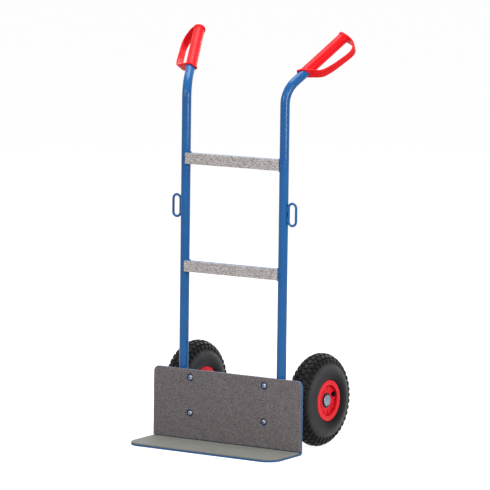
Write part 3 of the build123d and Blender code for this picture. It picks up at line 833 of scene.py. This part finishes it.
flange_start = 54.0
flange_edge = 58.0
flange_draw = 1.4
wheel_radius = 129.0
axle_y = 79.75


def drawn_in(mesh):
    # The rim's outer edge lies a little deeper in the tyre's lip than the solid's does
    for vertex in mesh.vertices:
        away = Vector((vertex.co.y - axle_y * millimetre, vertex.co.z - wheel_radius * millimetre))
        share = (away.length / millimetre - flange_start) / (flange_edge - flange_start)
        if share > 0:
            away *= 1 - flange_draw * millimetre * share / away.length
            vertex.co.yz = (axle_y * millimetre + away.x, wheel_radius * millimetre + away.y)
    return mesh


# Each solid: the name of the piece made from it, the width of its rolled edges, its body and its slot
soft_edges = {
    "toe_plate": ("folded_plate", 0.8, "frame", "blue_paint"),
    "lower_crossbar": ("lower_flat_bar", 0.7, "frame", "blue_paint"),
    "upper_crossbar": ("upper_flat_bar", 0.7, "frame", "blue_paint"),
    "left_axle_bracket": ("left_side_plate", 0.7, "frame", "blue_paint"),
    "right_axle_bracket": ("right_side_plate", 0.7, "frame", "blue_paint"),
    "plate_nuts": ("hexagon_nuts", 0.5, "frame", "zinc_steel"),
    "left_rim_outer": ("left_rim_face", 0.6, "left_wheel", "red_rim"),
    "left_rim_inner": ("left_rim_back", 0.6, "left_wheel", "red_rim"),
    "right_rim_outer": ("right_rim_face", 0.6, "right_wheel", "red_rim"),
    "right_rim_inner": ("right_rim_back", 0.6, "right_wheel", "red_rim"),
}
for node_name, (name, width, body, slot) in soft_edges.items():
    mesh = softened(node_name, width)
    if slot == "red_rim":
        mesh = drawn_in(mesh)
    add_piece(name, [mesh], as_drawn, body, slot, node_name)

# %% [markdown]
# ## Felt and the toe's sheet
# The felt facing, the felt strips and the smooth sheet are cut from soft stuff, so their edges are round
# and a little uneven and their faces never quite flat. A plain slab with a bumped finish would keep its
# straight edges. So an outline with its holes is filled and drawn out to its thickness, remeshed into an
# even skin, smoothed at the edges, and pushed in and out by noise.

# %% Soft slab helper
skin_smooth = 0.5


def even_skin(mesh, voxel, rounds, drill=None):
    # The same shape as one closed skin of even quads, with its edges smoothed; a drill cuts its hole first
    helper = bpy.data.objects.new("helper", mesh)
    scene.collection.objects.link(helper)
    if drill:
        cutter = bpy.data.objects.new("cutter", drill)
        scene.collection.objects.link(cutter)
        cut = helper.modifiers.new("drilled", "BOOLEAN")
        cut.operation = "DIFFERENCE"
        cut.object = cutter
        cut.use_self = True
    remesh = helper.modifiers.new("even_skin", "REMESH")
    remesh.mode = "VOXEL"
    remesh.voxel_size = voxel
    smooth = helper.modifiers.new("soft_edges", "SMOOTH")
    smooth.factor = skin_smooth
    smooth.iterations = rounds
    ready = helper.evaluated_get(bpy.context.evaluated_depsgraph_get())
    skin = bpy.data.meshes.new_from_object(ready)
    bpy.data.objects.remove(helper)
    bpy.data.meshes.remove(mesh)
    if drill:
        bpy.data.objects.remove(cutter)
        bpy.data.meshes.remove(drill)
    return skin


def soft_slab(loops, thickness, voxel, rounds, waves):
    # Loops are the outline and its holes; waves are pairs of a length and a height in millimetres
    shape = bmesh.new()
    for loop in loops:
        corners = [shape.verts.new((x, y, 0)) for x, y in loop]
        for first, second in zip(corners, corners[1:] + corners[:1]):
            shape.edges.new((first, second))
    bmesh.ops.triangle_fill(shape, edges=shape.edges, use_beauty=True)
    drawn = bmesh.ops.extrude_face_region(shape, geom=shape.faces)["geom"]
    moved = [part for part in drawn if isinstance(part, bmesh.types.BMVert)]
    bmesh.ops.translate(shape, verts=moved, vec=(0, 0, thickness))
    bmesh.ops.recalc_face_normals(shape, faces=shape.faces)
    block = bpy.data.meshes.new("block")
    shape.to_mesh(block)
    shape.free()
    skin = even_skin(block, voxel, rounds)
    places = np.empty(len(skin.vertices) * 3)
    normals = np.empty(len(skin.vertices) * 3)
    skin.vertices.foreach_get("co", places)
    skin.vertices.foreach_get("normal", normals)
    push = [sum(noise.noise(Vector(place) / length) * height for length, height in waves)
            for place in places.reshape(-1, 3)]
    skin.vertices.foreach_set("co", places + normals * np.repeat(push, 3))
    return skin


def arc_points(middle, radius, start, end, count):
    turns = np.radians(np.linspace(start, end, count))
    return [(middle[0] + radius * cos(angle), middle[1] + radius * sin(angle)) for angle in turns]


# %% Felt facing of the plate
facing_half = 244.0
facing_foot = 9.2
facing_top = 203.2
facing_corner = 15.0
facing_thickness = 5.0
facing_hole = 11.0
bolt_x = 122.5
hole_points = 48
corner_points = 12
felt_waves = ((2.2, 0.34), (5.0, 0.3), (40.0, 0.3))
facing_voxel = 1.25
facing_rounds = 3

inner_x = facing_half - facing_corner
inner_z = facing_top - facing_corner
loops = [[(-facing_half, facing_foot), (facing_half, facing_foot)]
         + arc_points((inner_x, inner_z), facing_corner, 0, 90, corner_points)
         + arc_points((-inner_x, inner_z), facing_corner, 90, 180, corner_points)]
for x in (-bolt_x, bolt_x):
    for level in bar_levels:
        loops.append(arc_points((x, level), facing_hole, 0, 360, hole_points + 1)[:-1])
slab = soft_slab(loops, facing_thickness, facing_voxel, facing_rounds, felt_waves)
felt_facing = add_piece(
    "felt_facing", [slab], ladder_place @ quarter_turn, "frame", "carpet_felt", "plate_carpet")

# %% Felt strips of the rungs
strip_half = 154.0
strip_thickness = 5.5
strip_voxel = 1.0
strip_rounds = 4
strip_lift = 0.25
felt_strips = {}
for name, level in rung_levels.items():
    half = rung_height / 2
    loops = [[(-strip_half, -half), (strip_half, -half), (strip_half, half), (-strip_half, half)]]
    slab = soft_slab(loops, strip_thickness - strip_lift, strip_voxel, strip_rounds, felt_waves)
    lie = Matrix.Translation((0, tube_setback - rung_front - strip_lift, level)) @ quarter_turn
    felt_strips[name] = add_piece(
        name + "_felt_strip", [slab], ladder_place @ lie, "frame", "pad_felt", name + "_rung_pad")

# %% Smooth sheet on the toe
sheet_half = 244.0
sheet_back = -5.2
sheet_front = -139.0
sheet_corner = 41.0
sheet_thickness = 4.5
sheet_voxel = 1.5
sheet_rounds = 4
sheet_waves = ((60.0, 0.25), (9.0, 0.06))
plate_thickness = 4.0

inner_x = sheet_half - sheet_corner
inner_y = sheet_front + sheet_corner
loops = [arc_points((-inner_x, inner_y), sheet_corner, 180, 270, 2 * corner_points)
         + arc_points((inner_x, inner_y), sheet_corner, 270, 360, 2 * corner_points)
         + [(sheet_half, sheet_back), (-sheet_half, sheet_back)]]
slab = soft_slab(loops, sheet_thickness, sheet_voxel, sheet_rounds, sheet_waves)
toe_sheet = add_piece("toe_sheet", [slab], level_place @ Matrix.Translation((0, 0, plate_thickness)),
                      "frame", "mat_rubber", "toe_mat")

# %% What the soft pieces were cut from
facing_size = (2 * facing_half, facing_top - facing_foot)
strip_size = (2 * strip_half, rung_height)
sheet_size = (2 * sheet_half, sheet_back - sheet_front)
soft_cuts = (
    (felt_facing, facing_size, "folded_plate"),
    (felt_strips["lower"], strip_size, "lower_square_rung"),
    (felt_strips["upper"], strip_size, "upper_square_rung"),
    (toe_sheet, sheet_size, "folded_plate"),
)
for piece, (width, length), rest in soft_cuts:
    print(piece.name, "was cut", width, "by", length)

# %% [markdown]
# ## Grips
# Each grip is one soft moulding: a sleeve over the end of the tube, a slanted foot, and a band that guards
# the knuckles and runs back into the collar. Foot and band are one ribbon, with its own width at every stop
# of its route. Sleeve and ribbon meet at a slant, where joining them face by face would be slow and uneven.
# So they are put together, bored for the tube, and melted into one skin with round edges. The two grips
# were not pushed on alike: the left one is turned further down about its tube. Each guard also leans by its
# own share of its reach. One picture can't tell how far, so the lean was chosen: the guard matches the
# picture and stays inside the box of the solids.

# %% Ribbon of the guard
# Each stop: along the grip, out from the tube's middle, and the ribbon's two edges across
ribbon_stops = (
    (-7.3, -16.8, -8.0, 8.0), (-6.0, -14.0, -12.0, 12.0), (2.0, 0.0, -17.0, 15.0),
    (14.0, 24.0, -17.0, 13.0), (25.0, 43.0, -16.0, 11.0), (38.0, 52.0, -15.0, 10.5),
    (64.0, 58.0, -12.5, 11.0), (100.0, 61.0, -9.0, 12.5), (125.0, 62.0, -7.5, 14.0),
    (143.0, 58.5, -8.0, 15.0), (156.0, 49.0, -10.0, 15.0), (163.0, 37.0, -12.0, 15.5),
    (166.0, 20.0, -15.5, 16.0), (166.0, 0.0, -17.5, 17.5))
ribbon_steps = 8
ribbon_thickness = 5.5
ribbon_corner = 2.2
print("stops of the guard's ribbon:", len(ribbon_stops))


def smooth_route(stops, steps):
    # More places between the stops, on a curve that passes through each of them
    stops = np.array(stops)
    longer = np.concatenate([[2 * stops[0] - stops[1]], stops, [2 * stops[-1] - stops[-2]]])
    places = []
    for before, here, ahead, after in zip(longer, longer[1:], longer[2:], longer[3:]):
        leave = (ahead - before) / 2
        arrive = (after - here) / 2
        gap = ahead - here
        for share in np.linspace(0, 1, steps, endpoint=False):
            bow = (3 * gap - 2 * leave - arrive) * share ** 2 + (leave + arrive - 2 * gap) * share ** 3
            places.append(here + leave * share + bow)
    return np.array(places + [stops[-1]])


def ribbon_mesh():
    route = smooth_route(ribbon_stops, ribbon_steps)
    way = unit(np.gradient(route[:, :2], axis=0))
    rings = []
    for (along, out, near, far), (way_along, way_out) in zip(route, way):
        ring = []
        for depth, across in rounded_outline(ribbon_thickness, far - near, ribbon_corner):
            inward = depth + ribbon_thickness / 2
            ring.append((along + way_out * inward, out - way_along * inward, (near + far) / 2 + across))
        rings.append(ring)
    return mesh_of(rings, closed_faces(len(rings), len(rings[0])))


# %% Sleeve and moulding
sleeve_radius = 15.5
sleeve_outline = ((157.75, 15.5), (160.0, 17.75), (164.8, 17.75), (166.0, 16.8))
sleeve_sides = 72
foot_start = 2.0
foot_slope = tan(radians(29.0))
grip_bore = 13.05
bore_outline = ((-60.0, grip_bore), (161.0, grip_bore))
grip_start = 71.0
grip_voxel = 0.9
grip_rounds = 6
grip_turns = {"right": radians(24.0), "left": radians(40.0)}
# How far a guard leans along the grip, out from it and across it, for each millimetre of its reach
guard_leans = {"right": (0.058, -0.103, 0.125), "left": (-0.058, -0.048, -0.036)}


def sleeve_mesh():
    rings = round_rings(((foot_start, sleeve_radius), *sleeve_outline), sleeve_sides)
    rings[0] = [(along + out * foot_slope, out, across) for along, out, across in rings[0]]
    return mesh_of(rings, closed_faces(len(rings), sleeve_sides))


def leaning_guard(lean):
    along, out, across = lean
    ribbon = ribbon_mesh()
    ribbon.transform(Matrix(((1, along, 0, 0), (0, 1 + out, 0, 0), (0, across, 1, 0), (0, 0, 0, 1))))
    return ribbon


def grip_place(turn):
    # From the grip's own directions, along, out and across, to the leaning ladder's
    outward = Vector((sin(handle_splay), cos(handle_splay), 0))
    along = outward * sin(bend_angle) + Vector((0, 0, cos(bend_angle)))
    level = Vector(bend_normal)
    out = level * cos(turn) + along.cross(level) * sin(turn)
    place = Matrix((along, out, along.cross(out))).transposed().to_4x4()
    place.translation = Vector((tube_x, tube_setback, corner_height)) + along * grip_start
    return place


for side, turned in two_sides:
    moulding = joined([leaning_guard(guard_leans[side]), sleeve_mesh()])
    skin = even_skin(moulding, grip_voxel, grip_rounds, turned_mesh(bore_outline, sleeve_sides))
    add_piece(side + "_guarded_grip", [skin], turned @ ladder_place @ grip_place(grip_turns[side]), "frame",
              "red_grip", side + "_grip")

# %% [markdown]
# ## Bolts of the plate
# Four button-head bolts hold the plate to the cross bars. Their domes stand in the holes of the felt, and
# each has a small round recess where the key goes in. Half a ball would do for the dome alone; one outline
# spun about the bolt's own line gives shank, head and recess at once.

# %% Bolts
bolt_sides = 48
# Places along the bolt with the radius at each, from the end of the shank to the bottom of the recess
bolt_outline = ((-19.6, 3.4), (-19.0, 4.0), (0.0, 4.0), (0.0, 8.1), (1.2, 8.2), (2.5, 7.6), (3.7, 6.2),
                (4.5, 4.4), (4.9, 2.8), (4.7, 2.5), (3.0, 2.3), (2.9, 0.3))
facing_out = Matrix.Rotation(radians(-90), 4, "Z")
bolts = []
for x in (-bolt_x, bolt_x):
    for level in bar_levels:
        bolt = turned_mesh(bolt_outline, bolt_sides)
        bolt.transform(Matrix.Translation((x, 0, level)) @ facing_out)
        bolts.append(bolt)
add_piece("button_bolts", bolts, ladder_place, "frame", "zinc_steel", "plate_bolts")

# %% [markdown]
# ## Tyres
# The tyre is the piece that takes the most skill. Its section is an oval that runs into a round sidewall
# and ends in the bead on the rim. Rows of small rounded blocks follow the section, each row half a step on
# from its neighbour, and the outer row fades into the sidewall. Single blocks set round a plain tyre would
# leave gaps under their edges. So one grid of points round the wheel holds all of it: every point of the
# section moves outwards by the height of the tread at its place.

# %% Section of the tyre
tyre_half = 38.5
section_height = 50.0
section_centre = wheel_radius - section_height
tread_depth = 4.0
tread_end = radians(57.0)
lip = (32.4, 57.4)
bead_route = ((28.0, 57.4), (28.0, 50.0), (20.0, 50.0), (20.0, 58.8), (29.0, 79.0), (17.0, 114.0))
crown_rows = 31
side_rows = 26


def circle_through(first, second, third):
    # Middle and radius of the circle through three places of the section
    ways = np.array([np.subtract(second, first), np.subtract(third, first)]) * 2
    squares = [np.dot(place, place) - np.dot(first, first) for place in (second, third)]
    middle = np.linalg.solve(ways, squares)
    return middle, np.linalg.norm(np.subtract(first, middle))


turns = np.linspace(0, tread_end, crown_rows)
crown = np.stack([(tyre_half - tread_depth) * np.sin(turns),
                  section_centre + (section_height - tread_depth) * np.cos(turns)], axis=1)
side_middle, side_radius = circle_through(crown[-1], (tyre_half, section_centre), lip)
start, end = (atan2(*(np.subtract(place, side_middle)[::-1])) for place in (crown[-1], lip))
turns = np.linspace(start, end, side_rows)[1:]
sidewall = side_middle + side_radius * np.stack([np.cos(turns), np.sin(turns)], axis=1)
half_section = np.concatenate([crown, sidewall])
half_length = run_lengths(half_section)
print("half of the section is", round(half_length[-1], 1), "mm long")

# %% Tread pattern
block_count = 40
# Each row of blocks: its middle along the section, half its width, half a block's length, and its height
block_rows = ((6.4, 4.7, 7.3, 1.0), (19.2, 4.7, 7.3, 1.0), (33.2, 6.0, 6.2, 1.2))
block_corner = 3.0
block_flank = 0.9
points_per_block = 22
row_shift = 0.5
outer_flank = 1.5
columns = block_count * points_per_block
block_pitch = 2 * pi * wheel_radius / block_count
# Each fine line moulded round the sidewall: its radius, its spread and its height
ring_lines = ((64.0, 1.5, 0.7), (69.5, 1.0, 0.4), (91.0, 1.4, 0.45))
print("a block every", round(block_pitch, 1), "mm")


def tread_height(length, turn, mirror_side):
    # Height of the tread, as a share of its depth, at a length along the section and a share of a turn
    height = np.zeros_like(turn)
    for number, (middle, half_width, half_length, rise) in enumerate(block_rows):
        outermost = number == len(block_rows) - 1
        step = turn * block_count + row_shift * ((number + mirror_side) % 2)
        along = np.abs(step - np.round(step)) * block_pitch - half_length + block_corner
        beyond = outermost and length > middle
        across = abs(length - middle) - half_width + block_corner
        gap = np.hypot(np.maximum(along, 0), max(across, 0)) + np.minimum(np.maximum(along, across), 0)
        flank = outer_flank if beyond else block_flank
        share = np.clip((flank - (gap - block_corner)) / (2 * flank), 0, 1)
        height = np.maximum(height, rise * share * share * (3 - 2 * share))
    return height


# %% Tyres
places = np.concatenate([half_section[:0:-1] * (-1, 1), half_section])
lengths = np.concatenate([-half_length[:0:-1], half_length])
ways = unit(np.gradient(places, axis=0))
outward = np.stack([-ways[:, 1], ways[:, 0]], axis=1)
turn = np.arange(columns) / columns
rows = []
for place, length, way in zip(places, lengths, outward):
    lift = tread_depth * tread_height(abs(length), turn, int(length < 0))
    for ring_radius, spread, rise in ring_lines:
        lift = lift + rise * np.exp(-((place[1] - ring_radius) / spread) ** 2)
    rows.append(np.stack([place[0] + way[0] * lift, place[1] + way[1] * lift], axis=1))
inside = list(bead_route) + [(-x, radius) for x, radius in reversed(bead_route)]
rows += [np.tile(place, (columns, 1)) for place in inside]
flat_rows = np.array(rows)
points = np.stack([flat_rows[..., 0], -flat_rows[..., 1] * np.sin(2 * pi * turn),
                   flat_rows[..., 1] * np.cos(2 * pi * turn)], axis=-1)

wheel_x = 205.5
wheel_turns = {"right": Matrix(), "left": Matrix.Rotation(pi, 4, "Z")}
for side, facing in wheel_turns.items():
    middle = (wheel_x if side == "right" else -wheel_x, axle_y, wheel_radius)
    wheel_place = Matrix.Scale(millimetre, 4) @ Matrix.Translation(middle) @ facing
    tyre = mesh_of(points, ring_faces(len(rows), columns, True))
    add_piece(side + "_block_tyre", [tyre], wheel_place, side + "_wheel", "tyre_rubber",
              side + "_tyre")

# %% [markdown]
# ## Hub caps
# A cap pressed from thin sheet closes each end of the axle. A bumped disc would be flat from the side, so
# the cap is turned: one outline spun about the axle, with a rolled rim, a shallow groove and a low crown
# that takes the light as rings.

# %% Hub caps
cap_sides = 64
cap_start = 231.25
# Places outwards along the axle with the radius at each, from the rim of the cap to its middle
cap_outline = ((0.0, 15.3), (0.6, 16.0), (2.0, 16.0), (3.0, 15.3), (3.4, 14.0), (3.2, 12.6), (2.7, 11.6),
               (3.0, 10.4), (3.9, 8.6), (4.5, 5.6), (4.8, 2.4), (4.9, 0.6))

cap_place = Matrix.Scale(millimetre, 4) @ Matrix.Translation((cap_start, axle_y, wheel_radius))
for side, turned in two_sides:
    add_piece(side + "_pressed_cap", [turned_mesh(cap_outline, cap_sides)], turned @ cap_place, "frame",
              "zinc_steel", side + "_hub_cap")

# %% [markdown]
# ## Solids that keep showing
# Screws, washers, valves, plugs and the insides of the wheels are right as they were packed and only need a
# finish. A solid's name without its side says what it is, and what isn't listed is zinc-plated steel. The
# loop dresses the replaced solids too, so that every solid has the look of its slot.

# %% Dress the solids
slot_of = {
    "upright": "blue_paint", "rung": "blue_paint", "strap_ring": "blue_paint", "axle_bracket": "blue_paint",
    "crossbar": "blue_paint", "toe_plate": "blue_paint", "grip": "red_grip", "rim_outer": "red_rim",
    "rim_inner": "red_rim", "foot_plug": "black_plastic", "roller_cage": "black_plastic",
    # The axle washers are black plastic, and their dark ring round each hub cap also stands in for the shade
    # of the recess
    "axle_washers": "black_plastic", "tyre": "tyre_rubber", "inner_tube": "soft_rubber",
    "valve": "soft_rubber", "rung_pad": "pad_felt", "plate_carpet": "carpet_felt", "toe_mat": "mat_rubber",
}
sides = ("left_", "right_", "lower_", "upper_")
for name, node in frame["nodes"].items():
    plain_name = name
    for side in sides:
        plain_name = plain_name.removeprefix(side)
    node.data.materials.clear()
    node.data.materials.append(finishes[slot_of.get(plain_name, "zinc_steel")])
print("dressed solids:", len(frame["nodes"]))
